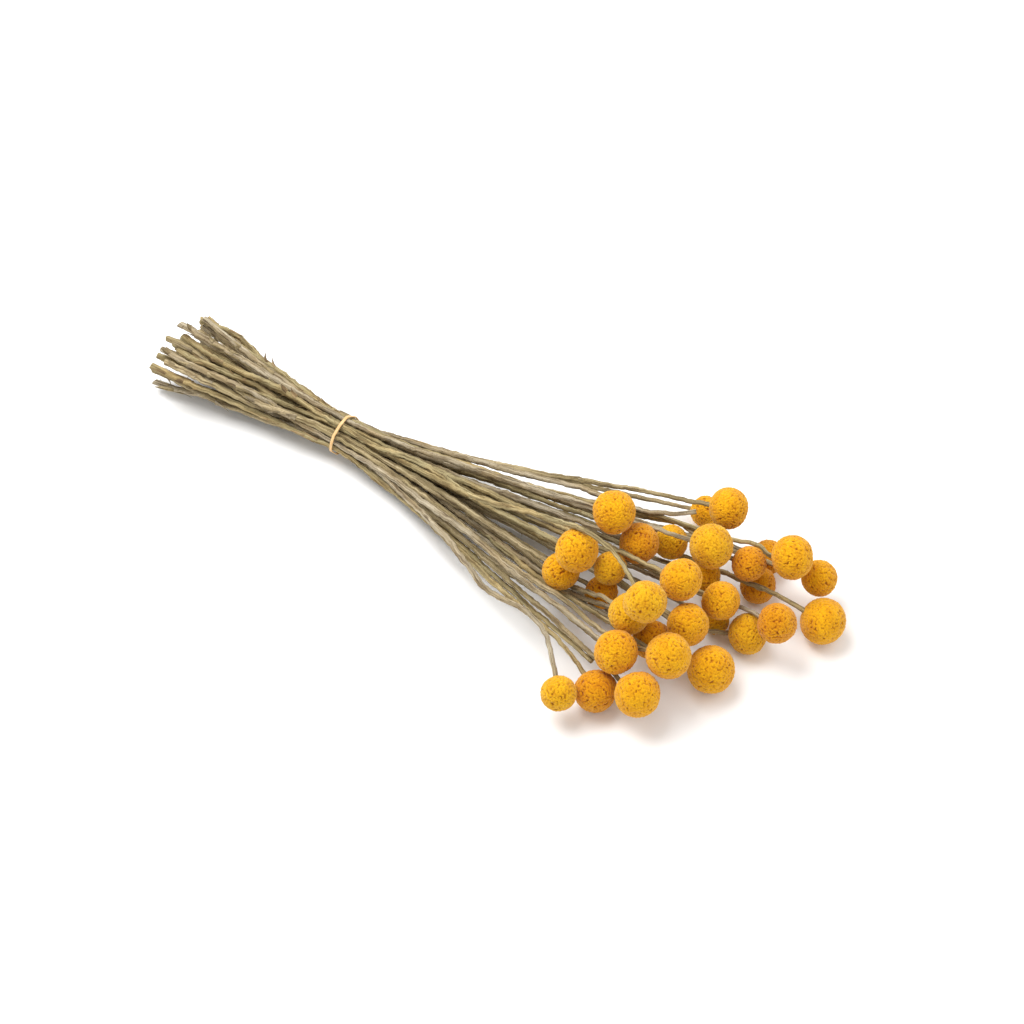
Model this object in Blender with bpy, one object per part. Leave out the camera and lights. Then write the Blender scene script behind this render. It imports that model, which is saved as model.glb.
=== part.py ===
"""A tied bunch of dried billy buttons lying on its side: flower heads, stems and one rubber band."""

import math
import random

import bmesh
import bpy
import numpy as np
from mathutils import Vector

# Lengths are in millimetres down to the line that makes a mesh, which turns them into metres.
MM = 0.001

# The band is at x = 0 and the heads lie towards +X. Each head: along, across, height of its middle,
# diameter, and the heading and the pitch of its neck in degrees where the neck isn't straight.
HEADS = (
    (190, -30, 32, 24, None),
    (200, -29, 56, 27, None),
    (206, 3, 65, 27, None),
    (214, -21, 18, 21, None),
    (217, -17, 39, 21, None),
    (223, 6, 44, 25.5, None),
    (230, 79, 10.5, 20.5, None),
    (233, 29, 30, 22, None),
    (236, -103, 22, 22, (-46, -22)),
    (246, -42, 41, 25.5, None),
    (250, -84, 13.5, 26.5, (-22, -18)),
    (253, -68, 36.5, 26.5, None),
    (254, 62, 44, 26, None),
    (258, -46, 64, 26, (-27, -15)),
    (259, -36, 19, 24, None),
    (261, 23, 22, 21, None),
    (263, -12, 54, 26, None),
    (263, 24, 50, 28, None),
    (276, -80, 25.5, 27.5, (-20, 16)),
    (277, -25, 34.5, 26, None),
    (280, 6, 9, 18, None),
    (282, -57, 42, 27.5, (-5, 24)),
    (283, 4, 31.5, 24, None),
    (283, 67, 11.5, 22.5, None),
    (285, 34, 38, 22, None),
    (289, 43, 12, 23.5, None),
    (299, -33, 15, 29.5, None),
    (303, 5, 13, 25.5, (28, 3)),
    (307, 47, 46, 27, (18, 10)),
    (320, 7, 32.5, 24.5, (-8, 18)),
    (321, 61, 22, 23, None),
    (337, 38, 14.5, 29, (14, -22)),
)
# The ends of the stems that have lost their heads, in the same form without a diameter.
BROKEN = (
    (238, 50, 42, (38, 8)),
    (243, -57, 20, None),
    (236, -66, 13, None),
    (236, -31, 24, None),
    (184, -19, 17, None),
    (272, -46, 25, None),
    (214, 18, 27, None),
)

HEAD_GAP = 0.7
GAP = 0.3  # between a head and its own stem, and between the stems and the band
CLEAR = 0.55  # kept between one stem and another, and between a stem and a head that isn't its own

STEM_RADIUS_CUT = 2.35
STEM_RADIUS_BAND = 1.55
STEM_RADIUS_RUN = 2.0
STEM_RADIUS_NECK = 1.45
RUN_X = 90.0  # where a stem that the band pressed thin is at its full thickness again
STEM_SIDES = 5
LINE_TOLERANCE = 0.25
NECK = 9.0  # straight length of stem behind a head
NOD = 75.0  # length over which a stem bends from its run to its neck

WAIST_HEIGHT = 16.5
WAIST_RADIUS = 11.5
CUT_X = -149.0
CUT_SLANT = 0.42  # how much shorter a stem is cut for each millimetre that its end is higher
CUT_SPREAD = 30.0
CUT_HEIGHT = 27.0
LOW_END = 9.0  # a cut end below this height lies on the floor
LYING = 14.0  # length of such an end that touches the floor
FLOOR_SINK = 0.76  # of its radius, the height of a stem's middle where it lies flattened on the floor

STATION = 7.5
STATIONS = np.arange(-165.0, 345.0, STATION)
ROUNDS = 1000
CHOOSING = 300  # rounds in which a stem that meets a head is also led past it on the side below
PASS_SIDE = np.array((-3.0, 4.4, -5.9))
PACKING = 0.88  # of the rounds also draw the stems together at the waist, less and less
STIFF = 0.75  # of the rounds also keep the bends smooth

FLORETS = 42
FLORET_DEPTH = 0.1  # of the head's radius, from the floret tips down to the seams between florets
SPOT_NECK = 1.9
SPOT_FLOOR = 2.2

BAND_WIDTH = 2.2
BAND_THICKNESS = 1.0
BAND_POINTS = 30

FUSED_PAIRS = 12
PRESS = 0.72  # of two radii, the distance between the middles of two stems that have grown together

SCRAPS = 12
SCRAP_THICKNESS = 0.8

rng = np.random.default_rng(7)


def direction(heading, pitch):
    heading, pitch = math.radians(heading), math.radians(pitch)
    return np.array((
        math.cos(pitch) * math.cos(heading),
        math.cos(pitch) * math.sin(heading),
        math.sin(pitch),
    ))


def settled_heads():
    """Middles and radii of the heads, moved apart where rounding left two closer than the gap."""
    middles = np.array([row[:3] for row in HEADS], float)
    radii = np.array([row[3] for row in HEADS], float) / 2
    for _ in range(200):
        apart = middles[:, None] - middles[None]
        distance = np.linalg.norm(apart, axis=2) + np.eye(len(radii))
        short = radii[:, None] + radii[None] + HEAD_GAP - distance
        np.fill_diagonal(short, 0)
        short = np.maximum(short, 0)
        middles += 0.4 * (apart / distance[..., None] * short[..., None]).sum(axis=1)
        middles[:, 2] = np.maximum(middles[:, 2], radii)
    return middles, radii


def flat_distance(radius):
    """From a head's middle to the small flat that its stem meets."""
    return math.sqrt(radius**2 - SPOT_NECK**2) * 0.985


def neck_directions(middles):
    """The way each stem points where it meets its head, and last the broken stems'."""
    ways = []
    tips = np.concatenate([middles, [row[:3] for row in BROKEN]])
    for tip, row in zip(tips, HEADS + BROKEN):
        straight = tip - (0, 0, WAIST_HEIGHT)
        ways.append(straight / np.linalg.norm(straight) if row[-1] is None else direction(*row[-1]))
    return np.array(ways)


def stem_ends(middles, radii, ways):
    """Where each stem ends: just short of its head's flat, or broken off."""
    under = [flat_distance(r) + GAP for r in radii]
    ends = [middle - way * d for middle, way, d in zip(middles, ways, under)]
    return np.array(ends + [row[:3] for row in BROKEN], float)


def smooth_step(a, b, slope_a, slope_b, x0, x1, x):
    """A cubic from a at x0 to b at x1 with these slopes."""
    span = x1 - x0
    t = ((x - x0) / span)[:, None]
    return (
        (2 * t**3 - 3 * t**2 + 1) * a
        + (t**3 - 2 * t**2 + t) * slope_a * span
        + (3 * t**2 - 2 * t**3) * b
        + (t**3 - t**2) * slope_b * span
    )


def first_routes(ends, ways):
    """A free path for each stem, through the waist and on to its end, and the x of its cut end."""
    count = len(ends)
    centre = np.array((0.0, WAIST_HEIGHT))
    fan = (ends[:, 1:] - centre) / ends[:, :1]
    lean = fan - fan.mean(axis=0)
    reach = np.linalg.norm(lean, axis=1)
    rank = np.empty(count)
    rank[np.argsort(reach)] = np.arange(count)
    slots = lean / reach[:, None] * (WAIST_RADIUS * np.sqrt((rank + 0.5) / count))[:, None]
    turn = rng.uniform(-0.9, 0.9, count)
    spin = np.stack([np.cos(turn), np.sin(turn)], axis=1)
    unit = slots / np.linalg.norm(slots, axis=1)[:, None]
    cut_way = np.stack([
        unit[:, 0] * spin[:, 0] - unit[:, 1] * spin[:, 1],
        unit[:, 0] * spin[:, 1] + unit[:, 1] * spin[:, 0],
    ], axis=1)
    spread = CUT_SPREAD * np.sqrt((rank + 0.5) / count) * rng.uniform(0.8, 1.15, count)
    cut = cut_way * spread[:, None] + (0, CUT_HEIGHT - WAIST_HEIGHT)
    cut[:, 1] = np.where(cut[:, 1] + WAIST_HEIGHT < LOW_END, 0, cut[:, 1] + WAIST_HEIGHT)
    cut[:, 1] = np.maximum(cut[:, 1], FLOOR_SINK * STEM_RADIUS_CUT) - WAIST_HEIGHT
    cut_x = CUT_X + CUT_SLANT * (cut[:, 1] + WAIST_HEIGHT) + rng.uniform(-6, 6, count)
    paths = np.zeros((count, len(STATIONS), 3))
    for i in range(count):
        through = 0.25 * fan[i] + 0.25 * (slots[i] - cut[i]) / -cut_x[i]
        last = ends[i] - ways[i] * NECK
        slope_end = ways[i, 1:] / ways[i, 0]
        chord = (last[1:] - centre - slots[i]) / last[0]
        ahead = smooth_step(slots[i], last[1:] - centre, through, chord, 0.0, last[0], STATIONS)
        bent = np.clip((STATIONS - last[0]) / NOD + 1, 0, None) ** 2 * (STATIONS - last[0])
        ahead += bent[:, None] * (slope_end - chord)
        behind = smooth_step(
            cut[i], slots[i], 1.1 * (slots[i] - cut[i]) / -cut_x[i], through, cut_x[i], 0.0, STATIONS
        )
        flat = np.where((STATIONS < 0)[:, None], behind, ahead)
        beyond = STATIONS >= last[0]
        flat[beyond] = last[1:] - centre + (STATIONS[beyond] - last[0])[:, None] * slope_end
        wave = np.zeros_like(flat)
        for _ in range(2):
            length = rng.uniform(90, 200)
            phase = rng.uniform(0, 2 * math.pi, 2)
            size = rng.uniform(0.4, 1.3)
            wave += size * np.sin(STATIONS[:, None] * 2 * math.pi / length + phase)
        calm = np.clip(np.abs(STATIONS) / 60, 0, 1) * np.clip((last[0] - STATIONS) / 60, 0, 1)
        flat += wave * calm[:, None]
        paths[i, :, 0] = STATIONS
        paths[i, :, 1:] = flat + centre
    return paths, cut_x


def radius_at(x, end_x):
    """Stem radius at x: thinner where the band presses it, and tapered to the neck."""
    back = np.clip(x / CUT_X, 0, 1)
    swelling = np.clip(x / RUN_X, 0, 1)
    taper = np.clip((x - RUN_X) / (end_x - RUN_X), 0, 1)
    return (
        STEM_RADIUS_BAND
        + (STEM_RADIUS_CUT - STEM_RADIUS_BAND) * back
        + (STEM_RADIUS_RUN - STEM_RADIUS_BAND) * swelling
        + (STEM_RADIUS_NECK - STEM_RADIUS_RUN) * taper
    )


def tangents(paths):
    along = np.gradient(paths, axis=1)
    return along / np.linalg.norm(along, axis=2)[..., None]


def nearest_between(apart, one, two, reach):
    """The shortest vector between two short straight pieces whose middles are `apart`."""
    turn = (one * two).sum(-1)
    along_one = (apart * one).sum(-1)
    along_two = (apart * two).sum(-1)
    a = np.clip((turn * along_two - along_one) / np.maximum(1 - turn**2, 1e-9), -reach, reach)
    b = np.clip(along_two + a * turn, -reach, reach)
    a = np.clip(b * turn - along_one, -reach, reach)
    return apart + a[..., None] * one - b[..., None] * two


def pressed_pairs(paths, count):
    """Neighbours in the waist that have grown together, the closest first, no stem twice."""
    middle = int(np.argmin(np.abs(STATIONS)))
    places = paths[:, middle, 1:]
    ends = paths[:, middle + 16, 1:]
    found = []
    for i in range(len(paths)):
        for j in range(i + 1, len(paths)):
            here = np.linalg.norm(places[i] - places[j])
            there = np.linalg.norm(ends[i] - ends[j])
            found.append((here + 0.5 * there, i, j))
    pairs, used = [], set()
    for _, i, j in sorted(found):
        if i not in used and j not in used:
            pairs.append((i, j))
            used |= {i, j}
        if len(pairs) == count:
            break
    return pairs


def settled_stems(paths, cut_x, ends, ways, middles, radii):
    """Pushes the stems clear of each other, of the heads and of the floor, and packs them at the waist."""
    count, stations = paths.shape[:2]
    rest = paths.copy()
    last_x = ends[:, 0]
    live = (STATIONS[None] >= cut_x[:, None] - STATION) & (STATIONS[None] <= last_x[:, None])
    held = live & (STATIONS[None] > (last_x - ways[:, 0] * NECK)[:, None])
    thick = radius_at(STATIONS[None], last_x[:, None])
    first, second = np.triu_indices(count, 1)
    both = live[first] & live[second]
    need = thick[first] + thick[second] + CLEAR
    reach = STATION / 2 + 2.5
    near_waist = np.clip(1 - np.abs(STATIONS) / 22.0, 0, 1)
    start = paths[np.arange(count), np.argmax(live, axis=1) + 1, 2]
    lies = (start < LOW_END / 2)[:, None] & (STATIONS[None] < cut_x[:, None] + LYING)
    pairs = []
    for turn in range(ROUNDS):
        if turn == 200:
            pairs = pressed_pairs(paths, FUSED_PAIRS)
            for i, j in pairs:
                row = np.nonzero((first == i) & (second == j))[0][0]
                both[row] = False
        way = tangents(paths)
        push = np.zeros_like(paths)
        hits = np.zeros((count, stations))
        apart = nearest_between(
            paths[first] - paths[second], way[first], way[second], reach
        )
        distance = np.linalg.norm(apart, axis=2)
        short = np.where(both, np.maximum(need - distance, 0), 0)
        move = apart / np.maximum(distance, 1e-6)[..., None] * short[..., None]
        np.add.at(push, first, 0.5 * move)
        np.add.at(push, second, -0.5 * move)
        np.add.at(hits, first, short > 0)
        np.add.at(hits, second, short > 0)
        for h, (middle, radius) in enumerate(zip(middles, radii)):
            offset = middle - paths
            along = np.clip((offset * way).sum(-1), -reach, reach)
            away = paths + along[..., None] * way - middle
            distance = np.linalg.norm(away, axis=2)
            short = np.maximum(radius + thick + CLEAR - distance, 0) * live
            short[h] = 0
            if turn < CHOOSING:
                away = away + PASS_SIDE
            length = np.linalg.norm(away, axis=2)
            push += away / np.maximum(length, 1e-6)[..., None] * short[..., None]
            hits += short > 0
        push /= np.maximum(hits, 1)[..., None] ** 0.7
        for i, j in pairs:
            between = paths[j] - paths[i]
            distance = np.linalg.norm(between, axis=1)
            slack = distance - PRESS * (thick[i] + thick[j])
            pull = (0.25 * slack * near_waist / np.maximum(distance, 1e-6))[:, None] * between
            push[i] += pull
            push[j] -= pull
        draw = 0.03 * max(1 - turn / (PACKING * ROUNDS), 0) * near_waist
        push[..., 1] -= draw * paths[..., 1]
        push[..., 2] -= draw * (paths[..., 2] - WAIST_HEIGHT)
        push[..., 0] = 0
        push[held] = 0
        paths = paths + push
        strength = 0.5 if turn < STIFF * ROUNDS else 0.03
        bend = paths - rest
        mean = bend.copy()
        left = np.roll(bend, 1, axis=1)
        right = np.roll(bend, -1, axis=1)
        usable = live & ~held
        inside = usable & np.roll(live, 1, axis=1) & np.roll(live, -1, axis=1)
        mean[inside] = (0.25 * left + 0.5 * bend + 0.25 * right)[inside]
        paths = np.where(usable[..., None], rest + bend + strength * (mean - bend), paths)
        low = thick * FLOOR_SINK
        paths[..., 2] = np.where(usable, np.maximum(paths[..., 2], low), paths[..., 2])
        paths[..., 2] = np.where(lies, low, paths[..., 2])
    return paths, live, thick, pairs


def line_of(path, live, cut_x, end, way):
    """One stem's middle line as points, from its cut end to where it meets its head."""
    points = [p for p, on in zip(path, live) if on and cut_x < p[0] < end[0] - way[0] * 2.5]
    start = points[0] + (points[0] - points[1]) * (points[0][0] - cut_x) / STATION
    return np.array([start, *points, end])


def thinned(points, tolerance):
    """The points that a line needs to stay this close to the one given."""
    a, b = points[0], points[-1]
    span = b - a
    t = np.clip(((points - a) @ span) / (span @ span), 0, 1)
    off = np.linalg.norm(points - a - t[:, None] * span, axis=1)
    worst = int(off.argmax())
    if off[worst] <= tolerance:
        return np.array([a, b])
    return np.concatenate([
        thinned(points[: worst + 1], tolerance)[:-1],
        thinned(points[worst:], tolerance),
    ])


def stem_solid(points, radii, twist, last_way):
    """Corner points and faces of a stem swept along its middle line, flat where it lies on the floor."""
    rings = []
    side = np.array((0.0, 0.0, 1.0))
    for k, point in enumerate(points):
        before = points[max(k - 1, 0)]
        after = points[min(k + 1, len(points) - 1)]
        way = (after - before) / np.linalg.norm(after - before)
        if k == len(points) - 1:
            way = last_way
        side = side - way * (side @ way)
        side /= np.linalg.norm(side)
        other = np.cross(way, side)
        for s in range(STEM_SIDES):
            angle = 2 * math.pi * s / STEM_SIDES + twist
            corner = point + radii[k] * (math.cos(angle) * side + math.sin(angle) * other)
            corner[2] = max(corner[2], 0.0)
            rings.append(corner)
    faces = []
    for k in range(len(points) - 1):
        for s in range(STEM_SIDES):
            a = k * STEM_SIDES + s
            b = k * STEM_SIDES + (s + 1) % STEM_SIDES
            faces.append((a, b, b + STEM_SIDES, a + STEM_SIDES))
    last = (len(points) - 1) * STEM_SIDES
    faces.append(tuple(reversed(range(STEM_SIDES))))
    faces.append(tuple(last + s for s in range(STEM_SIDES)))
    return rings, faces


def around(way, angle, turns, start=0.0):
    """Unit vectors evenly spaced on a small circle about `way`."""
    helper = np.array((0.0, 0.0, 1.0)) if abs(way[2]) < 0.9 else np.array((1.0, 0.0, 0.0))
    one = np.cross(way, helper)
    one /= np.linalg.norm(one)
    two = np.cross(way, one)
    spread = [start + 2 * math.pi * k / turns for k in range(turns)]
    return [
        math.cos(angle) * way + math.sin(angle) * (math.cos(a) * one + math.sin(a) * two)
        for a in spread
    ]


def head_solid(middle, radius, spots, seed):
    """A ball of florets: a spiral lattice of raised tips, with the seams between three tips sunk.
    Each spot is a direction, the distance of a flat from the middle, and the flat's radius."""
    local = random.Random(seed)
    ways, flat, reach = [], [], []
    for way, depth, size in spots:
        angle = math.atan2(size, depth)
        ring = around(way, angle, 6)
        ways += [way, *ring]
        reach += [depth] + [depth / math.cos(angle)] * 6
        flat += [True] * 7
    turn = local.uniform(0, 2 * math.pi)
    golden = math.pi * (3 - math.sqrt(5))
    tilt = Vector((local.uniform(-1, 1), local.uniform(-1, 1), local.uniform(-1, 1))).normalized()
    for k in range(FLORETS):
        z = 1 - 2 * (k + 0.5) / FLORETS
        ring = math.sqrt(1 - z * z)
        point = Vector((ring * math.cos(golden * k + turn), ring * math.sin(golden * k + turn), z))
        point.rotate(tilt.to_track_quat("Z", "Y"))
        way = np.array(point)
        if any(way @ spot[0] > math.cos(math.atan2(spot[2], spot[1]) + 0.2) for spot in spots):
            continue
        ways.append(way)
        flat.append(False)
        reach.append(radius * local.uniform(0.975, 1.0))
    shell = bmesh.new()
    corners = [shell.verts.new(way) for way in ways]
    shell.verts.index_update()
    hull = bmesh.ops.convex_hull(shell, input=corners)
    faces = [
        [v.index for v in f.verts] for f in hull["geom"] if isinstance(f, bmesh.types.BMFace)
    ]
    shell.free()
    points = [middle + way * r for way, r in zip(ways, reach)]
    solid = []
    for face in faces:
        if all(flat[v] for v in face):
            solid.append(face)
            continue
        mean = sum(ways[v] for v in face) / len(face)
        mean = mean / np.linalg.norm(mean)
        sunk = min(radius * (1 - FLORET_DEPTH), min(reach[v] for v in face))
        centre = middle + mean * sunk
        for way, depth, _ in spots:
            over = (centre - middle) @ way - depth
            if over > 0:
                centre = centre - way * over
        points.append(centre)
        hub = len(points) - 1
        for k in range(len(face)):
            solid.append((face[k], face[(k + 1) % len(face)], hub))
    return points, solid


def band_solid(paths, thick):
    """A flat loop round the stems in the plane x = 0, half its width either side."""
    rim = []
    turns = np.linspace(0, 2 * math.pi, 48, endpoint=False)
    for k, x in enumerate(STATIONS):
        if abs(x) > STATION:
            continue
        for path, radius in zip(paths[:, k], thick[:, k]):
            y, z = path[1], path[2]
            rim += [(y + radius * math.cos(a), z + radius * math.sin(a)) for a in turns]
    rim = np.array(rim)
    middle = rim.mean(axis=0)
    loops = []
    angles = np.linspace(0, 2 * math.pi, BAND_POINTS, endpoint=False)
    normals = np.stack([np.cos(angles), np.sin(angles)], axis=1)
    support = ((rim - middle) @ normals.T).max(axis=0) + GAP
    for out in (0.0, BAND_THICKNESS):
        corners = []
        for k in range(BAND_POINTS):
            after = (k + 1) % BAND_POINTS
            pair = np.array((normals[k], normals[after]))
            corners.append(middle + np.linalg.solve(pair, (support[k] + out, support[after] + out)))
        loops.append(corners)
    points, faces = [], []
    for x in (-BAND_WIDTH / 2, BAND_WIDTH / 2):
        for corners in loops:
            points += [(x, y, z) for y, z in corners]
    n = BAND_POINTS
    for k in range(n):
        a, b = k, (k + 1) % n
        faces.append((a, b, n + b, n + a))
        faces.append((2 * n + b, 2 * n + a, 3 * n + a, 3 * n + b))
        faces.append((a, 2 * n + a, 2 * n + b, b))
        faces.append((n + b, 3 * n + b, 3 * n + a, n + a))
    return points, faces


def scrap_solid(foot, out, along, length, width):
    """A scrap of dried leaf: a thin blade that stands out from the stem and leans along it."""
    lean = out * 0.75 + along * 0.66
    across = np.cross(out, along)
    root = foot - out * 0.9
    outline = (
        root - along * width * 0.5,
        root + along * width * 0.5,
        root + lean * length * 0.6 + along * width * 0.35,
        root + lean * length,
        root + lean * length * 0.5 - along * width * 0.3,
    )
    thick = across / np.linalg.norm(across) * SCRAP_THICKNESS / 2
    points = [p - thick for p in outline] + [p + thick for p in outline]
    n = len(outline)
    faces = [tuple(range(n)), tuple(reversed(range(n, 2 * n)))]
    faces += [(k, k + n, (k + 1) % n + n, (k + 1) % n) for k in range(n)]
    return points, faces


def material(name, colour, roughness):
    made = bpy.data.materials.new(name)
    made.use_nodes = True
    shader = made.node_tree.nodes["Principled BSDF"]
    shader.inputs["Base Color"].default_value = (*colour, 1)
    shader.inputs["Roughness"].default_value = roughness
    return made


def mesh_object(name, points, faces, look, smooth, shift):
    mesh = bpy.data.meshes.new(name)
    mesh.from_pydata([tuple((np.array(p) + shift) * MM) for p in points], [], [list(f) for f in faces])
    shape = bmesh.new()
    shape.from_mesh(mesh)
    bmesh.ops.recalc_face_normals(shape, faces=shape.faces)
    shape.to_mesh(mesh)
    shape.free()
    for face in mesh.polygons:
        face.use_smooth = smooth
    mesh.materials.append(look)
    made = bpy.data.objects.new(name, mesh)
    bpy.context.scene.collection.objects.link(made)
    return made


def fused(base, others):
    """Joins these objects to the first with a Boolean union, and removes them."""
    if not others:
        return base
    group = bpy.data.collections.new(base.name + "_joined")
    for other in others:
        bpy.context.scene.collection.objects.unlink(other)
        group.objects.link(other)
    union = base.modifiers.new("union", "BOOLEAN")
    union.operation = "UNION"
    union.operand_type = "COLLECTION"
    union.collection = group
    union.solver = "EXACT"
    graph = bpy.context.evaluated_depsgraph_get()
    graph.update()
    mesh = bpy.data.meshes.new_from_object(base.evaluated_get(graph))
    base.modifiers.clear()
    base.data = mesh
    for other in others:
        bpy.data.objects.remove(other, do_unlink=True)
    bpy.data.collections.remove(group)
    return base


def scrap_places(paths, live, cut_x):
    """Stations and outward ways for the scraps, each on the stem that is outermost that way."""
    places = []
    for k in range(SCRAPS):
        x = -132 + 104 * (k + rng.uniform(0.1, 0.9)) / SCRAPS
        angle = math.radians(rng.uniform(20, 160))
        station = int(np.argmin(np.abs(STATIONS - x)))
        out = np.array((0.0, math.cos(angle), math.sin(angle)))
        on = live[:, station] & (cut_x < STATIONS[station] - STATION)
        score = np.where(on, paths[:, station] @ out, -1e9)
        places.append((int(score.argmax()), station, out))
    return places


def main():
    for item in list(bpy.data.objects):
        bpy.data.objects.remove(item, do_unlink=True)
    middles, radii = settled_heads()
    ways = neck_directions(middles)
    ends = stem_ends(middles, radii, ways)
    paths, cut_x = first_routes(ends, ways)
    paths, live, thick, pairs = settled_stems(paths, cut_x, ends, ways, middles, radii)
    lines = [
        line_of(paths[i], live[i], cut_x[i], ends[i], ways[i]) for i in range(len(ends))
    ]
    everything = np.concatenate([middles + radii[:, None], middles - radii[:, None], *lines])
    low, high = everything.min(axis=0), everything.max(axis=0)
    shift = np.array((-(low[0] + high[0]) / 2, -(low[1] + high[1]) / 2, 0.0))

    petal = material("floret_yellow", (0.80, 0.42, 0.02), 0.85)
    straw = material("dry_stem", (0.33, 0.26, 0.16), 0.9)
    rubber = material("band_tan", (0.72, 0.42, 0.18), 0.6)

    for i, (middle, radius) in enumerate(zip(middles, radii)):
        spots = [(-ways[i], flat_distance(radius), SPOT_NECK)]
        if middle[2] < radius + 0.6:
            spots.append((np.array((0.0, 0.0, -1.0)), middle[2], SPOT_FLOOR))
        points, faces = head_solid(middle, radius, spots, i)
        mesh_object(f"flower_head_{i + 1:02d}", points, faces, petal, False, shift)

    scraps = {}
    for stem, station, out in scrap_places(paths, live, cut_x):
        way = tangents(paths)[stem, station]
        out = out - way * (out @ way)
        out /= np.linalg.norm(out)
        foot = paths[stem, station] + out * thick[stem, station]
        length, width = rng.uniform(5, 10), rng.uniform(2.5, 4)
        scraps.setdefault(stem, []).append(scrap_solid(foot, out, -way, length, width))

    partner = {j: i for i, j in pairs}
    solids = {}
    for i, line in enumerate(lines):
        kept = thinned(line, LINE_TOLERANCE)
        widths = radius_at(kept[:, 0], ends[i, 0])
        points, faces = stem_solid(kept, widths, 0.4 * (i % 3), ways[i])
        pieces = [mesh_object(f"stem_{i + 1:02d}", points, faces, straw, True, shift)]
        for k, (points, faces) in enumerate(scraps.get(i, [])):
            pieces.append(mesh_object(f"scrap_{i}_{k}", points, faces, straw, False, shift))
        solids.setdefault(partner.get(i, i), []).extend(pieces)
    for pieces in solids.values():
        fused(pieces[0], pieces[1:])

    points, faces = band_solid(paths, thick)
    mesh_object("rubber_band", points, faces, rubber, True, shift)


main()
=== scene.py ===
"""The looks of a tied bunch of dried billy buttons: floret balls, ribbed dry stems and one rubber band."""

import math

import bmesh
import bpy
import numpy as np
from mathutils import Matrix, Vector


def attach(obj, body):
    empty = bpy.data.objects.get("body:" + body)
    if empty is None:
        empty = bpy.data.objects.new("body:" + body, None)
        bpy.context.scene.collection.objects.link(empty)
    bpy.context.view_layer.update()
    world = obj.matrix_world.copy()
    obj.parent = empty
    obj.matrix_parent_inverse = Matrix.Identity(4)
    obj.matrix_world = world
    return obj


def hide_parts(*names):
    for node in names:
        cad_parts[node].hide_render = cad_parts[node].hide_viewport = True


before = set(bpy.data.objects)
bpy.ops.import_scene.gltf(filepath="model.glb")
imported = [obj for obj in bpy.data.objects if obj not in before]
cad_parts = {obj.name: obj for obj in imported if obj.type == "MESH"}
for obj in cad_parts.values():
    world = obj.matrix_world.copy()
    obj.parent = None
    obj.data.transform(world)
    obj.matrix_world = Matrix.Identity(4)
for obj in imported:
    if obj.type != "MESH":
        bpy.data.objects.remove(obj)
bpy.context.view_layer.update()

# Lengths are in millimetres down to the line that makes a mesh, which turns them into metres.
MM = 0.001
# The band is at x = 0 and the heads lie towards +X. Each head: along, across, height of its middle,
# diameter, and the heading and the pitch of its neck in degrees where the neck isn't straight.
HEADS = (
    (190, -30, 32, 24, None),
    (200, -29, 56, 27, None),
    (206, 3, 65, 27, None),
    (214, -21, 18, 21, None),
    (217, -17, 39, 21, None),
    (223, 6, 44, 25.5, None),
    (230, 79, 10.5, 20.5, None),
    (233, 29, 30, 22, None),
    (236, -103, 22, 22, (-46, -22)),
    (246, -42, 41, 25.5, None),
    (250, -84, 13.5, 26.5, (-22, -18)),
    (253, -68, 36.5, 26.5, None),
    (254, 62, 44, 26, None),
    (258, -46, 64, 26, (-27, -15)),
    (259, -36, 19, 24, None),
    (261, 23, 22, 21, None),
    (263, -12, 54, 26, None),
    (263, 24, 50, 28, None),
    (276, -80, 25.5, 27.5, (-20, 16)),
    (277, -25, 34.5, 26, None),
    (280, 6, 9, 18, None),
    (282, -57, 42, 27.5, (-5, 24)),
    (283, 4, 31.5, 24, None),
    (283, 67, 11.5, 22.5, None),
    (285, 34, 38, 22, None),
    (289, 43, 12, 23.5, None),
    (299, -33, 15, 29.5, None),
    (303, 5, 13, 25.5, (28, 3)),
    (307, 47, 46, 27, (18, 10)),
    (320, 7, 32.5, 24.5, (-8, 18)),
    (321, 61, 22, 23, None),
    (337, 38, 14.5, 29, (14, -22)),
)
# The ends of the stems that have lost their heads, in the same form without a diameter.
BROKEN = (
    (238, 50, 42, (38, 8)),
    (243, -57, 20, None),
    (236, -66, 13, None),
    (236, -31, 24, None),
    (184, -19, 17, None),
    (272, -46, 25, None),
    (214, 18, 27, None),
)

HEAD_GAP = 0.7
HEAD_ROUNDS = 200
GAP = 0.3  # between a head and its own stem, and between the stems and the band
CLEAR = 0.55  # kept between one stem and another, and between a stem and a head that isn't its own

STEM_RADIUS_CUT = 2.35
STEM_RADIUS_BAND = 1.55
STEM_RADIUS_RUN = 2.0
STEM_RADIUS_NECK = 1.45
RUN_X = 90.0  # where a stem that the band pressed thin is at its full thickness again
NECK = 9.0  # straight length of stem behind a head
NOD = 75.0  # length over which a stem bends from its run to its neck

WAIST_HEIGHT = 16.5
WAIST_RADIUS = 11.5
WAIST_REACH = 22.0  # either side of the band, how far its pull is felt
CUT_X = -149.0
CUT_SLANT = 0.42  # how much shorter a stem is cut for each millimetre that its end is higher
CUT_SPREAD = 30.0
CUT_HEIGHT = 27.0
LOW_END = 9.0  # a cut end below this height lies on the floor
LYING = 14.0  # length of such an end that touches the floor
WAVE_LENGTHS = (90, 200)
WAVE_SIZES = (0.4, 1.3)
CALM = 60.0  # from the band and from the neck, the length over which the waves set in
FLOOR_SINK = 0.76  # of its radius, the height of a stem's middle where it lies flattened on the floor

STATION = 7.5
STATIONS = np.arange(-165.0, 345.0, STATION)
ROUNDS = 1000
CHOOSING = 300  # rounds in which a stem that meets a head is also led past it on the side below
PASS_SIDE = np.array((-3.0, 4.4, -5.9))
PACKING = 0.88  # of the rounds also draw the stems together at the waist, less and less
STIFF = 0.75  # of the rounds also keep the bends smooth

SPOT_NECK = 1.9  # radius of the small flat on a head that its stem meets

BAND_WIDTH = 2.2
BAND_THICKNESS = 1.0
BAND_POINTS = 30

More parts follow.
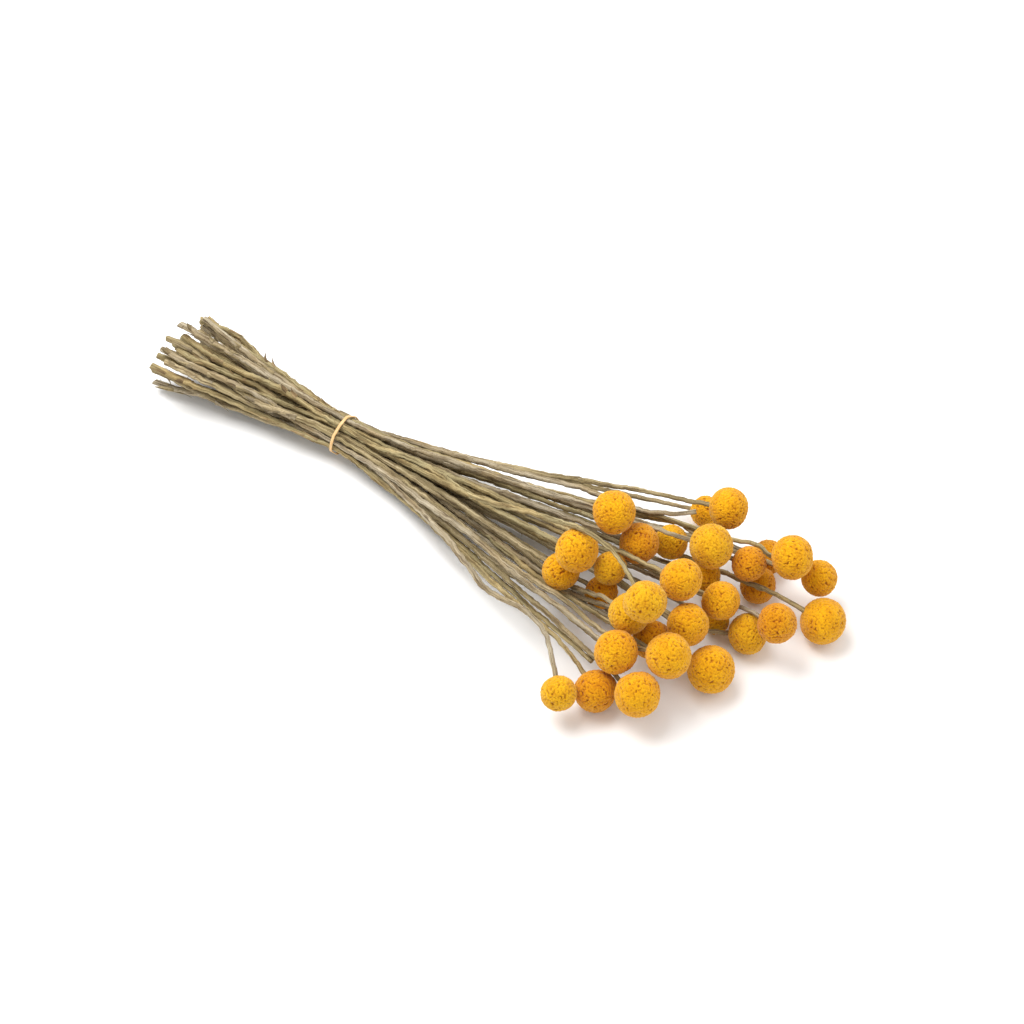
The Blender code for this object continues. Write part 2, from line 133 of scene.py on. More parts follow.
FUSED_PAIRS = 12
PAIRING = 200  # the round in which these pairs are found
FAN_STATIONS = 16  # from the band to where the stems are compared again to find them
PRESS = 0.72  # of two radii, the distance between the middles of two stems that have grown together

SCRAPS = 12  # larger scraps of leaf on the upper side, spread over this part of the cut ends
SCRAPS_FROM = -132.0
SCRAPS_SPAN = 104.0

rng = np.random.default_rng(7)


def direction(heading, pitch):
    """A unit vector from its heading and pitch in degrees."""
    heading, pitch = math.radians(heading), math.radians(pitch)
    return np.array((
        math.cos(pitch) * math.cos(heading),
        math.cos(pitch) * math.sin(heading),
        math.sin(pitch),
    ))


def settled_heads():
    """Middles and radii of the heads, moved apart where rounding left two closer than the gap."""
    middles = np.array([row[:3] for row in HEADS], float)
    radii = np.array([row[3] for row in HEADS], float) / 2
    for _ in range(HEAD_ROUNDS):
        apart = middles[:, None] - middles[None]
        distance = np.linalg.norm(apart, axis=2) + np.eye(len(radii))
        short = radii[:, None] + radii[None] + HEAD_GAP - distance
        np.fill_diagonal(short, 0)
        short = np.maximum(short, 0)
        middles += 0.4 * (apart / distance[..., None] * short[..., None]).sum(axis=1)
        middles[:, 2] = np.maximum(middles[:, 2], radii)
    return middles, radii


def flat_distance(radius):
    """From a head's middle to the small flat that its stem meets."""
    return math.sqrt(radius**2 - SPOT_NECK**2) * 0.985


def neck_directions(middles):
    """The way each stem points where it meets its head, and last the broken stems'."""
    ways = []
    tips = np.concatenate([middles, [row[:3] for row in BROKEN]])
    for tip, row in zip(tips, HEADS + BROKEN):
        straight = tip - (0, 0, WAIST_HEIGHT)
        ways.append(straight / np.linalg.norm(straight) if row[-1] is None else direction(*row[-1]))
    return np.array(ways)


def stem_ends(middles, radii, ways):
    """Where each stem ends: just short of its head's flat, or broken off."""
    under = [flat_distance(r) + GAP for r in radii]
    ends = [middle - way * d for middle, way, d in zip(middles, ways, under)]
    return np.array(ends + [row[:3] for row in BROKEN], float)


def smooth_step(a, b, slope_a, slope_b, x0, x1, x):
    """A cubic from a at x0 to b at x1 with these slopes."""
    span = x1 - x0
    t = ((x - x0) / span)[:, None]
    return (
        (2 * t**3 - 3 * t**2 + 1) * a
        + (t**3 - 2 * t**2 + t) * slope_a * span
        + (3 * t**2 - 2 * t**3) * b
        + (t**3 - t**2) * slope_b * span
    )


def first_routes(ends, ways):
    """A free path for each stem, through the waist and on to its end, and the x of its cut end."""
    count = len(ends)
    centre = np.array((0.0, WAIST_HEIGHT))
    fan = (ends[:, 1:] - centre) / ends[:, :1]
    lean = fan - fan.mean(axis=0)
    reach = np.linalg.norm(lean, axis=1)
    rank = np.empty(count)
    rank[np.argsort(reach)] = np.arange(count)
    slots = lean / reach[:, None] * (WAIST_RADIUS * np.sqrt((rank + 0.5) / count))[:, None]
    turn = rng.uniform(-0.9, 0.9, count)
    spin = np.stack([np.cos(turn), np.sin(turn)], axis=1)
    unit = slots / np.linalg.norm(slots, axis=1)[:, None]
    cut_way = np.stack([
        unit[:, 0] * spin[:, 0] - unit[:, 1] * spin[:, 1],
        unit[:, 0] * spin[:, 1] + unit[:, 1] * spin[:, 0],
    ], axis=1)
    spread = CUT_SPREAD * np.sqrt((rank + 0.5) / count) * rng.uniform(0.8, 1.15, count)
    cut = cut_way * spread[:, None] + (0, CUT_HEIGHT - WAIST_HEIGHT)
    cut[:, 1] = np.where(cut[:, 1] + WAIST_HEIGHT < LOW_END, 0, cut[:, 1] + WAIST_HEIGHT)
    cut[:, 1] = np.maximum(cut[:, 1], FLOOR_SINK * STEM_RADIUS_CUT) - WAIST_HEIGHT
    cut_x = CUT_X + CUT_SLANT * (cut[:, 1] + WAIST_HEIGHT) + rng.uniform(-6, 6, count)
    paths = np.zeros((count, len(STATIONS), 3))
    for i in range(count):
        through = 0.25 * fan[i] + 0.25 * (slots[i] - cut[i]) / -cut_x[i]
        last = ends[i] - ways[i] * NECK
        slope_end = ways[i, 1:] / ways[i, 0]
        chord = (last[1:] - centre - slots[i]) / last[0]
        ahead = smooth_step(slots[i], last[1:] - centre, through, chord, 0.0, last[0], STATIONS)
        bent = np.clip((STATIONS - last[0]) / NOD + 1, 0, None) ** 2 * (STATIONS - last[0])
        ahead += bent[:, None] * (slope_end - chord)
        behind = smooth_step(
            cut[i], slots[i], 1.1 * (slots[i] - cut[i]) / -cut_x[i], through, cut_x[i], 0.0, STATIONS
        )
        flat = np.where((STATIONS < 0)[:, None], behind, ahead)
        beyond = STATIONS >= last[0]
        flat[beyond] = last[1:] - centre + (STATIONS[beyond] - last[0])[:, None] * slope_end
        wave = np.zeros_like(flat)
        for _ in range(2):
            length = rng.uniform(*WAVE_LENGTHS)
            phase = rng.uniform(0, 2 * math.pi, 2)
            size = rng.uniform(*WAVE_SIZES)
            wave += size * np.sin(STATIONS[:, None] * 2 * math.pi / length + phase)
        calm = np.clip(np.abs(STATIONS) / CALM, 0, 1) * np.clip((last[0] - STATIONS) / CALM, 0, 1)
        flat += wave * calm[:, None]
        paths[i, :, 0] = STATIONS
        paths[i, :, 1:] = flat + centre
    return paths, cut_x


def radius_at(x, end_x):
    """Stem radius at x: thinner where the band presses it, and tapered to the neck."""
    back = np.clip(x / CUT_X, 0, 1)
    swelling = np.clip(x / RUN_X, 0, 1)
    taper = np.clip((x - RUN_X) / (end_x - RUN_X), 0, 1)
    return (
        STEM_RADIUS_BAND
        + (STEM_RADIUS_CUT - STEM_RADIUS_BAND) * back
        + (STEM_RADIUS_RUN - STEM_RADIUS_BAND) * swelling
        + (STEM_RADIUS_NECK - STEM_RADIUS_RUN) * taper
    )


def tangents(paths):
    """The way that each stem runs at each station."""
    along = np.gradient(paths, axis=1)
    return along / np.linalg.norm(along, axis=2)[..., None]


def nearest_between(apart, one, two, reach):
    """The shortest vector between two short straight pieces whose middles are `apart`."""
    turn = (one * two).sum(-1)
    along_one = (apart * one).sum(-1)
    along_two = (apart * two).sum(-1)
    a = np.clip((turn * along_two - along_one) / np.maximum(1 - turn**2, 1e-9), -reach, reach)
    b = np.clip(along_two + a * turn, -reach, reach)
    a = np.clip(b * turn - along_one, -reach, reach)
    return apart + a[..., None] * one - b[..., None] * two


def pressed_pairs(paths, count):
    """Neighbours in the waist that have grown together, the closest first, no stem twice."""
    middle = int(np.argmin(np.abs(STATIONS)))
    places = paths[:, middle, 1:]
    ends = paths[:, middle + FAN_STATIONS, 1:]
    found = []
    for i in range(len(paths)):
        for j in range(i + 1, len(paths)):
            here = np.linalg.norm(places[i] - places[j])
            there = np.linalg.norm(ends[i] - ends[j])
            found.append((here + 0.5 * there, i, j))
    pairs, used = [], set()
    for _, i, j in sorted(found):
        if i not in used and j not in used:
            pairs.append((i, j))
            used |= {i, j}
        if len(pairs) == count:
            break
    return pairs


def settled_stems(paths, cut_x, ends, ways, middles, radii):
    """Pushes the stems clear of each other, of the heads and of the floor, and packs them at the waist."""
    count, stations = paths.shape[:2]
    rest = paths.copy()
    last_x = ends[:, 0]
    live = (STATIONS[None] >= cut_x[:, None] - STATION) & (STATIONS[None] <= last_x[:, None])
    held = live & (STATIONS[None] > (last_x - ways[:, 0] * NECK)[:, None])
    thick = radius_at(STATIONS[None], last_x[:, None])
    first, second = np.triu_indices(count, 1)
    both = live[first] & live[second]
    need = thick[first] + thick[second] + CLEAR
    reach = STATION / 2 + 2.5
    near_waist = np.clip(1 - np.abs(STATIONS) / WAIST_REACH, 0, 1)
    start = paths[np.arange(count), np.argmax(live, axis=1) + 1, 2]
    lies = (start < LOW_END / 2)[:, None] & (STATIONS[None] < cut_x[:, None] + LYING)
    pairs = []
    for turn in range(ROUNDS):
        if turn == PAIRING:
            pairs = pressed_pairs(paths, FUSED_PAIRS)
            for i, j in pairs:
                row = np.nonzero((first == i) & (second == j))[0][0]
                both[row] = False
        way = tangents(paths)
        push = np.zeros_like(paths)
        hits = np.zeros((count, stations))
        apart = nearest_between(
            paths[first] - paths[second], way[first], way[second], reach
        )
        distance = np.linalg.norm(apart, axis=2)
        short = np.where(both, np.maximum(need - distance, 0), 0)
        move = apart / np.maximum(distance, 1e-6)[..., None] * short[..., None]
        np.add.at(push, first, 0.5 * move)
        np.add.at(push, second, -0.5 * move)
        np.add.at(hits, first, short > 0)
        np.add.at(hits, second, short > 0)
        for h, (middle, radius) in enumerate(zip(middles, radii)):
            offset = middle - paths
            along = np.clip((offset * way).sum(-1), -reach, reach)
            away = paths + along[..., None] * way - middle
            distance = np.linalg.norm(away, axis=2)
            short = np.maximum(radius + thick + CLEAR - distance, 0) * live
            short[h] = 0
            if turn < CHOOSING:
                away = away + PASS_SIDE
            length = np.linalg.norm(away, axis=2)
            push += away / np.maximum(length, 1e-6)[..., None] * short[..., None]
            hits += short > 0
        push /= np.maximum(hits, 1)[..., None] ** 0.7
        for i, j in pairs:
            between = paths[j] - paths[i]
            distance = np.linalg.norm(between, axis=1)
            slack = distance - PRESS * (thick[i] + thick[j])
            pull = (0.25 * slack * near_waist / np.maximum(distance, 1e-6))[:, None] * between
            push[i] += pull
            push[j] -= pull
        draw = 0.03 * max(1 - turn / (PACKING * ROUNDS), 0) * near_waist
        push[..., 1] -= draw * paths[..., 1]
        push[..., 2] -= draw * (paths[..., 2] - WAIST_HEIGHT)
        push[..., 0] = 0
        push[held] = 0
        paths = paths + push
        strength = 0.5 if turn < STIFF * ROUNDS else 0.03
        bend = paths - rest
        mean = bend.copy()
        left = np.roll(bend, 1, axis=1)
        right = np.roll(bend, -1, axis=1)
        usable = live & ~held
        inside = usable & np.roll(live, 1, axis=1) & np.roll(live, -1, axis=1)
        mean[inside] = (0.25 * left + 0.5 * bend + 0.25 * right)[inside]
        paths = np.where(usable[..., None], rest + bend + strength * (mean - bend), paths)
        low = thick * FLOOR_SINK
        paths[..., 2] = np.where(usable, np.maximum(paths[..., 2], low), paths[..., 2])
        paths[..., 2] = np.where(lies, low, paths[..., 2])
    return paths, live, thick, pairs


def line_of(path, live, cut_x, end, way):
    """One stem's middle line as points, from its cut end to where it meets its head."""
    points = [p for p, on in zip(path, live) if on and cut_x < p[0] < end[0] - way[0] * 2.5]
    start = points[0] + (points[0] - points[1]) * (points[0][0] - cut_x) / STATION
    return np.array([start, *points, end])


def band_corners(paths, thick):
    """The band's inner and outer line round the stems, each as corners (y, z)."""
    rim = []
    turns = np.linspace(0, 2 * math.pi, 48, endpoint=False)
    for k, x in enumerate(STATIONS):
        if abs(x) > STATION:
            continue
        for path, radius in zip(paths[:, k], thick[:, k]):
            y, z = path[1], path[2]
            rim += [(y + radius * math.cos(a), z + radius * math.sin(a)) for a in turns]
    rim = np.array(rim)
    middle = rim.mean(axis=0)
    loops = []
    angles = np.linspace(0, 2 * math.pi, BAND_POINTS, endpoint=False)
    normals = np.stack([np.cos(angles), np.sin(angles)], axis=1)
    support = ((rim - middle) @ normals.T).max(axis=0) + GAP
    for out in (0.0, BAND_THICKNESS):
        corners = []
        for k in range(BAND_POINTS):
            after = (k + 1) % BAND_POINTS
            pair = np.array((normals[k], normals[after]))
            corners.append(middle + np.linalg.solve(pair, (support[k] + out, support[after] + out)))
        loops.append(np.array(corners))
    return loops


def scrap_places(paths, live, cut_x):
    """Stations and outward ways for the scraps, each on the stem that is outermost that way."""
    places = []
    for k in range(SCRAPS):
        x = SCRAPS_FROM + SCRAPS_SPAN * (k + rng.uniform(0.1, 0.9)) / SCRAPS
        angle = math.radians(rng.uniform(20, 160))
        station = int(np.argmin(np.abs(STATIONS - x)))
        out = np.array((0.0, math.cos(angle), math.sin(angle)))
        on = live[:, station] & (cut_x < STATIONS[station] - STATION)
        score = np.where(on, paths[:, station] @ out, -1e9)
        places.append((int(score.argmax()), station, out))
    return places


# Which of the yellows each head has, and which of the straw colours each stem has.
# The amber yellow is darker than the others: partly the heads' own deeper colour, partly painted shade on
# heads that lie in the shade of others.
HEAD_TONES = (0, 0, 0, 2, 1, 2, 0, 1, 1, 1, 2, 0, 0, 1, 2, 0, 0, 1, 0, 0, 1, 0, 0, 2, 2, 2, 0, 1, 0, 2, 0, 0)
STALK_TONES = tuple((5 * i + i // 3) % 4 for i in range(len(HEADS + BROKEN)))

# Looks of the heads: each yellow has a name and its colours in the seams, on the florets and on their tips.
# The seam colour is painted shade in the hollows between florets, and the lighter tip colour is painted
# light on their tops.
YELLOWS = (
    ("floret_gold", (0.50, 0.19, 0.002), (0.78, 0.38, 0.003), (0.88, 0.46, 0.004)),
    ("floret_lemon", (0.48, 0.20, 0.003), (0.75, 0.40, 0.005), (0.85, 0.48, 0.009)),
    # Amber: darker and more orange, partly its own colour and partly painted shade.
    ("floret_amber", (0.40, 0.12, 0.001), (0.66, 0.28, 0.002), (0.78, 0.36, 0.003)),
)
BALL_STEPS = 6  # of the fine ball that carries the florets
FLORET_SPACING = 1.4
FLORET_SINK = 0.5  # depth of the seams between florets
BARE = 0.02  # share of the places where a floret is missing
BARE_DEPTH = 0.65
FLATTENED = 0.055  # how much shorter a head is along its stem than across
LUMPS = 5
LUMP_SIZE = 0.012  # of the radius
ON_FLOOR = 0.6  # a head whose lowest point is nearer than this rests on the floor, and is cut flat there

# Looks of the stems: each straw has a name, its colours from dark to light, and the tint of its patches.
STRAWS = (
    ("stem_tan", (0.11, 0.076, 0.036), (0.37, 0.288, 0.158), (0.60, 0.495, 0.31), (0.8, 0.8, 0.7)),
    ("stem_olive", (0.088, 0.066, 0.027), (0.30, 0.243, 0.12), (0.50, 0.425, 0.24), (1.2, 1.08, 0.95)),
    ("stem_grey", (0.12, 0.094, 0.059), (0.36, 0.30, 0.20), (0.59, 0.515, 0.38), (0.85, 0.76, 0.6)),
    ("stem_brown", (0.078, 0.047, 0.021), (0.285, 0.20, 0.103), (0.48, 0.37, 0.215), (1.25, 1.17, 1.0)),
)
RING_STEP = 2.4
RIM = 12
RIBS = 0.11  # of the radius
RIB_COUNTS = (2, 3, 5)  # round the stem
STALK_FILL = 0.96  # mean radius against the solid's corners
KINKS = 0.16  # how far a dry stem wanders from a smooth line, at each of these wave lengths
KINK_LENGTHS = (7.0, 13.0, 24.0, 45.0)
KNOTS = (6, 11)  # fewest, and one more than the most
FLARE = 0.22  # of the radius, where a stem meets its head
INTO_HEAD = 3.0
# Dry leaf on each stem: how many, whether by the cut end, and the limits of length, width and curl.
# First flat remnants of leaves, then thin shreds, then the few shreds beyond the band.
REMNANTS = (
    (12, True, (5, 16), (1.2, 3.4), (0.0, 0.22)),
    (7, True, (2.5, 8), (0.3, 1.4), (0.2, 1.0)),
    (5, False, (1.2, 4), (0.3, 0.9), (0.1, 0.9)),
)
SHRED_STEPS = 5
SCRAP_CURL = 0.85

# Looks of the band
BAND_RINGS = 160
BAND_SIDES = 14

# Camera and light
VIEW_AZIMUTH = 34.0
VIEW_ELEVATION = 48.0
VIEW_DISTANCE = 1.3
VIEW_TARGET = (122.0, 17.0, 0.0)  # in the layout's own millimetres
LENS = 70.3
# Each lamp: its place to the right of the target, above it and beyond it as the camera sees it, its size in
# metres and its power in watts.
LAMPS = (
    ("key", (-0.45, 0.95, -0.75), 0.9, 17.0),
    ("fill", (1.1, 0.5, -0.9), 1.4, 5.0),
)
WORLD_STRENGTH = 0.75
FLOOR_HALF = 6.0
FLOOR_LEVEL = -0.0004
FLOOR_GREY = 0.93


def new_material(name):
    """A material, its node tree and its shader."""
    made = bpy.data.materials.new(name)
    made.use_nodes = True
    tree = made.node_tree
    return made, tree, tree.nodes["Principled BSDF"]


def node(tree, kind, **inputs):
    """A new node with some of its inputs set."""
    made = tree.nodes.new(kind)
    for name, value in inputs.items():
        made.inputs[name.replace("_", " ")].default_value = value
    return made


def ramp(tree, source, stops):
    """The source's value turned into a colour by stops of (place, colour)."""
    made = tree.nodes.new("ShaderNodeValToRGB")
    tree.links.new(source, made.inputs["Fac"])
    elements = made.color_ramp.elements
    while len(elements) < len(stops):
        elements.new(0.5)
    for element, (place, colour) in zip(elements, stops):
        element.position = place
        element.color = (*colour, 1)
    return made.outputs["Color"]


def mixed(tree, kind, factor, a, b):
    """A colour mix. factor, a and b are sockets, numbers or colours."""
    made = tree.nodes.new("ShaderNodeMix")
    made.data_type = "RGBA"
    made.blend_type = kind
    for place, value in ((0, factor), (6, a), (7, b)):
        if isinstance(value, bpy.types.NodeSocket):
            tree.links.new(value, made.inputs[place])
        elif place == 0:
            made.inputs[0].default_value = value
        else:
            made.inputs[place].default_value = (*value, 1)
    return made.outputs[2]


def attribute(tree, name):
    """The node that reads what a mesh holds under this name."""
    made = tree.nodes.new("ShaderNodeAttribute")
    made.attribute_name = name
    return made


def bumped(tree, shader, height, strength, distance, invert=False):
    """Fine relief from a height."""
    made = node(tree, "ShaderNodeBump", Strength=strength, Distance=distance)
    made.invert = invert
    tree.links.new(height, made.inputs["Height"])
    tree.links.new(made.outputs["Normal"], shader.inputs["Normal"])


def scaled(tree, source, scale):
    """Coordinates multiplied by a scale."""
    made = tree.nodes.new("ShaderNodeMapping")
    made.inputs["Scale"].default_value = scale
    tree.links.new(source, made.inputs["Vector"])
    return made.outputs["Vector"]


def noise(tree, vector, detail, rough):
    """Cloudy values between 0 and 1."""
    made = node(tree, "ShaderNodeTexNoise", Scale=1.0, Detail=detail, Roughness=rough)
    tree.links.new(vector, made.inputs["Vector"])
    return made.outputs["Fac"]


def floret_look(name, deep, middle, tip):
    """Yellow florets: painted shade in the seams and painted light on the tips, with each floret a little
    lighter or darker than the next.
    """
    made, tree, shader = new_material(name)
    relief = attribute(tree, "relief").outputs["Fac"]
    tone = attribute(tree, "tone").outputs["Fac"]
    # The relief attribute becomes painted shade and light: the seam colour darkens the hollows between
    # florets, the tip colour lightens their tops.
    colour = ramp(tree, relief, ((0.0, deep), (0.34, middle), (0.9, tip)))
    by_floret = ramp(tree, tone, ((0.0, (0.72, 0.56, 0.36)), (0.3, (0.95, 0.92, 0.88)), (1.0, (1, 1, 1))))
    colour = mixed(tree, "MULTIPLY", 0.6, colour, by_floret)
    place = tree.nodes.new("ShaderNodeTexCoord").outputs["Object"]
    tips = node(tree, "ShaderNodeTexVoronoi", Scale=1500.0)
    tree.links.new(place, tips.inputs["Vector"])
    # Painted shade between the fine granules: darker where the inverted bump sinks, full colour on each
    # granule.
    granule_gap_shade = ramp(tree, tips.outputs["Distance"], ((0.25, (1, 1, 1)), (0.75, (0.74, 0.6, 0.36))))
    colour = mixed(tree, "MULTIPLY", 0.6, colour, granule_gap_shade)
    patches = noise(tree, scaled(tree, place, (120, 120, 120)), 2.0, 0.5)
    shade = ramp(tree, patches, ((0.32, (0.86, 0.74, 0.6)), (0.6, (1, 1, 1))))
    colour = mixed(tree, "MULTIPLY", 0.7, colour, shade)
    tree.links.new(colour, shader.inputs["Base Color"])
    shader.inputs["Roughness"].default_value = 0.9
    shader.inputs["Specular IOR Level"].default_value = 0.15
    shader.inputs["Sheen Weight"].default_value = 0.2
    bumped(tree, shader, tips.outputs["Distance"], 0.7, 0.0004, invert=True)
    return made


def stalk_look(name, dark, middle, light, tint):
    """Dry stem: long fibres and wrinkles along it, with patches of another tint."""
    made, tree, shader = new_material(name)
    along = attribute(tree, "grain").outputs["Vector"]
    fibres = noise(tree, scaled(tree, along, (1500, 1500, 34)), 5.0, 0.62)
    wrinkles = noise(tree, scaled(tree, along, (620, 620, 60)), 3.0, 0.5)
    patches = noise(tree, scaled(tree, along, (90, 90, 22)), 3.0, 0.6)
    specks = noise(tree, scaled(tree, along, (1500, 1500, 900)), 2.0, 0.5)
    colour = ramp(tree, fibres, ((0.30, dark), (0.48, middle), (0.68, light)))
    share = ramp(tree, patches, ((0.42, (0, 0, 0)), (0.62, (1, 1, 1))))
    colour = mixed(tree, "MIX", share, colour, mixed(tree, "MULTIPLY", 1.0, colour, tint))
    lines = ramp(tree, wrinkles, ((0.36, (0.34, 0.28, 0.22)), (0.5, (1, 1, 1))))
    colour = mixed(tree, "MULTIPLY", 0.75, colour, lines)
    spots = ramp(tree, specks, ((0.32, (0.3, 0.22, 0.15)), (0.41, (1, 1, 1))))
    colour = mixed(tree, "MULTIPLY", 0.7, colour, spots)
    tree.links.new(colour, shader.inputs["Base Color"])
    shader.inputs["Roughness"].default_value = 0.85
    shader.inputs["Specular IOR Level"].default_value = 0.25
    height = mixed(tree, "MIX", 0.45, fibres, wrinkles)
    bumped(tree, shader, height, 0.8, 0.0006)
    return made


def plain_look(name, dark, light, roughness, scale):
    """A softly mottled surface between two colours."""
    made, tree, shader = new_material(name)
    place = tree.nodes.new("ShaderNodeTexCoord").outputs["Object"]
    mottle = noise(tree, scaled(tree, place, (scale,) * 3), 4.0, 0.6)
    tree.links.new(ramp(tree, mottle, ((0.35, dark), (0.65, light))), shader.inputs["Base Color"])
    shader.inputs["Roughness"].default_value = roughness
    bumped(tree, shader, mottle, 0.3, 0.0003)
    return made


def finished(name, points, faces, looks, shift, face_looks=None, attributes=None):
    """A smooth shaded object, moved from the layout's millimetres to the frame's metres."""
    mesh = bpy.data.meshes.new(name)
    mesh.from_pydata((np.asarray(points) + shift) * MM, [], faces)
    for look in looks:
        mesh.materials.append(look)
    if face_looks is not None:
        mesh.polygons.foreach_set("material_index", np.asarray(face_looks, np.int32))
    mesh.polygons.foreach_set("use_smooth", np.full(len(mesh.polygons), True))
    for key, values in (attributes or {}).items():
        values = np.asarray(values, np.float32)
        kind = "FLOAT_VECTOR" if values.ndim == 2 else "FLOAT"
        made = mesh.attributes.new(key, kind, "POINT")
        made.data.foreach_set("vector" if values.ndim == 2 else "value", values.ravel())
    mesh.update()
    made = bpy.data.objects.new(name, mesh)
    bpy.context.scene.collection.objects.link(made)
    return made


def fine_ball():
    """Directions spread evenly over a ball, and the triangles between them."""
    shell = bmesh.new()
    bmesh.ops.create_icosphere(shell, subdivisions=BALL_STEPS, radius=1.0)
    ways = np.array([v.co for v in shell.verts])
    faces = [tuple(v.index for v in f.verts) for f in shell.faces]
    shell.free()
    return ways / np.linalg.norm(ways, axis=1)[:, None], faces


def floret_ways(count, dice):
    """Directions of the florets: a spiral lattice, tilted and shaken a little."""
    k = np.arange(count)
    z = 1 - 2 * (k + 0.5) / count
    ring = np.sqrt(1 - z * z)
    angle = math.pi * (3 - math.sqrt(5)) * k
    ways = np.stack([ring * np.cos(angle), ring * np.sin(angle), z], axis=1)
    ways += dice.normal(0, 0.28 * math.sqrt(4 * math.pi / count), ways.shape)
    spin = np.linalg.qr(dice.normal(size=(3, 3)))[0]
    return ways @ spin / np.linalg.norm(ways, axis=1)[:, None]


def ball(ways, middle, radius, neck, on_floor, dice):
    """Corner points of one head, and how raised and how light each corner is. How raised it is becomes
    painted shade in the seams and painted light on the tips.
    """
    count = int(4 * math.pi * radius**2 / (0.866 * FLORET_SPACING**2))
    florets = floret_ways(count, dice)
    near = np.empty(len(ways), int)
    closeness = np.empty(len(ways))
    for begin in range(0, len(ways), 2048):
        facing = ways[begin:begin + 2048] @ florets.T
        near[begin:begin + 2048] = facing.argmax(axis=1)
        closeness[begin:begin + 2048] = facing.max(axis=1)
    far = np.arccos(np.clip(closeness, -1, 1)) * radius / (0.62 * FLORET_SPACING)
    relief = np.sqrt(np.clip(1 - far**2, 0, 1))
    bare = dice.random(count) < BARE
    proud = dice.uniform(-0.2, 0.1, count)
    proud[bare] = -BARE_DEPTH
    tone = dice.random(count)
    # A bare place, where a floret is missing, also gets the darkest tone: painted shade in its pit.
    tone[bare] = 0
    lumps = np.zeros(len(ways))
    for _ in range(LUMPS):
        way = dice.normal(size=3)
        way /= np.linalg.norm(way)
        lumps += LUMP_SIZE * np.cos(ways @ way * dice.uniform(2.5, 5.5) + dice.uniform(0, 6.28))
    form = 1.012 - FLATTENED * (ways @ neck) ** 2 + np.clip(lumps, -0.035, 0.012)
    reach = radius * form - FLORET_SINK * (1 - relief) + proud[near]
    points = middle + ways * np.minimum(reach, radius * 1.022)[:, None]
    if on_floor:
        points[:, 2] = np.maximum(points[:, 2], 0)
    # How raised each corner is, which the looks turn into painted shade in the seams and bare pits and
    # painted light on the floret tips.
    seam_shade_mask = np.clip(relief * (1 - 0.8 * bare[near]) + 0.4 * proud[near] + 0.05, 0, 1)
    return points, seam_shade_mask, tone[near]


def resampled(line):
    """The stem's line as close rings, passed smoothly through the points given."""
    steps = np.concatenate([[0], np.cumsum(np.linalg.norm(np.diff(line, axis=0), axis=1))])
    slopes = np.gradient(line, steps, axis=0)
    wanted = np.linspace(0, steps[-1], int(steps[-1] / RING_STEP) + 1)
    at = np.clip(np.searchsorted(steps, wanted, side="right") - 1, 0, len(steps) - 2)
    span = (steps[at + 1] - steps[at])[:, None]
    t = (wanted - steps[at])[:, None] / span
    points = (
        (2 * t**3 - 3 * t**2 + 1) * line[at]
        + (t**3 - 2 * t**2 + t) * slopes[at] * span
        + (3 * t**2 - 2 * t**3) * line[at + 1]
        + (t**3 - t**2) * slopes[at + 1] * span
    )
    return points, wanted


def frames_along(points):
    """The way of a line at each point, and two directions across it that don't twist."""
    way = np.gradient(points, axis=0)
    way /= np.linalg.norm(way, axis=1)[:, None]
    sides = np.empty_like(points)
    side = np.array((0.0, 0.0, 1.0))
    for k, direction_here in enumerate(way):
        side = side - direction_here * (side @ direction_here)
        side /= np.linalg.norm(side)
        sides[k] = side
    return way, sides, np.cross(way, sides)


def kinked(points, steps, side, other, dice):
    """The line with a dry stem's small bends, which fade towards both ends."""
    free = np.clip(np.minimum(steps, steps[-1] - steps) / 12, 0, 1)[:, None]
    for length in KINK_LENGTHS:
        swing = steps[:, None] * 2 * math.pi / (length * dice.uniform(0.8, 1.25))
        points = points + free * KINKS * np.sin(swing + dice.uniform(0, 6)) * side
        points = points + free * KINKS * np.sin(swing * 1.13 + dice.uniform(0, 6)) * other
    return points


def knotty_radius(x, steps, end_x, dice):
    """The mean radius of each ring, with a flared neck and a few knots."""
    radius = radius_at(x, end_x) * STALK_FILL
    to_head = steps[-1] - steps
    radius = radius * (1 + FLARE * np.exp(-((to_head / 3.5) ** 2)))
    for _ in range(dice.integers(*KNOTS)):
        knot = dice.uniform(5, steps[-1] - 30)
        radius = radius * (1 + dice.uniform(0.08, 0.2) * np.exp(-(((steps - knot) / 2.6) ** 2)))
    return radius * (1 + 0.05 * np.sin(steps / dice.uniform(5, 12) + dice.uniform(0, 6)))


def ribs_around(steps, angle, dice):
    """How far each corner of each ring stands out, as a share of the radius."""
    twist = steps[:, None] * dice.uniform(-0.02, 0.02)
    ribs = np.zeros((len(steps), RIM))
    for count in RIB_COUNTS:
        drift = 0.7 * np.sin(steps[:, None] / dice.uniform(20, 60) + dice.uniform(0, 6))
        size = RIBS * dice.uniform(0.5, 1.0) / 1.6
        ribs += size * np.cos(count * (angle + twist) + drift + dice.uniform(0, 6))
    return ribs + dice.normal(0, 0.03, ribs.shape)


